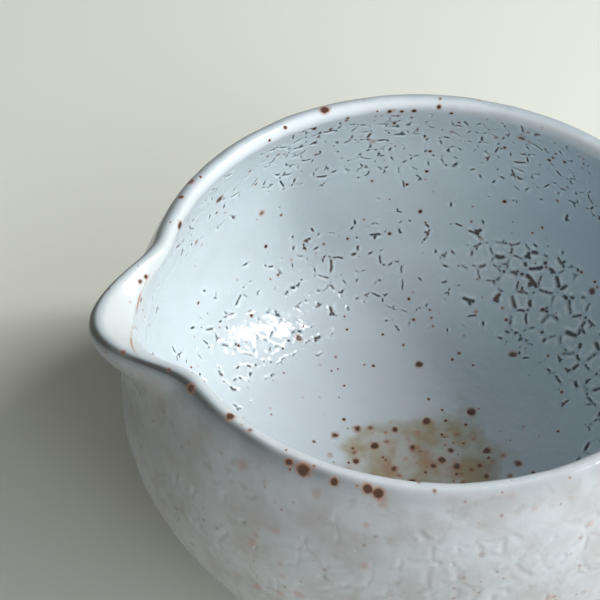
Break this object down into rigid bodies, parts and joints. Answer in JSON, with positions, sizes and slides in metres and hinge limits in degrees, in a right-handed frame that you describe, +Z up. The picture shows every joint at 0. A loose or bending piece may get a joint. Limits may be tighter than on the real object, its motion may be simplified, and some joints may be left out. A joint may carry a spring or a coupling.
{
  "type": "tea pitcher",
  "caption": "Small glazed stoneware bowl with an incurved wall, a short pouring spout drawn out of its rim and a low bare foot ring, for cooling and pouring tea.",
  "frame": {"origin": "on the table, under the middle of the pitcher's length from the spout's tip to the back of the wall; the axis of the bowl and foot ring is 1.89 mm from it towards +X", "axes": "+Z up, out of the bowl; -X towards the spout's tip; +Y across"},
  "size_m": [0.112, 0.108, 0.064],
  "materials": {
    "bowl_clay": "bare stoneware clay, fired brown, sandy",
    "spout_clay": "bare stoneware clay under the glaze",
    "foot_clay": "bare stoneware clay, fired brown, trimmed",
    "outside_glaze": "white glaze with a pinkish grey cast, crawled and iron specked",
    "inside_glaze": "glossy bluish white glaze, crawled and iron specked"
  },
  "bodies": {
    "root": {"thrown_bowl": "bowl_clay", "pouring_spout": "spout_clay", "foot_ring": "foot_clay", "outside_glaze": "outside_glaze", "inside_glaze": "inside_glaze"}
  },
  "joints": []
}
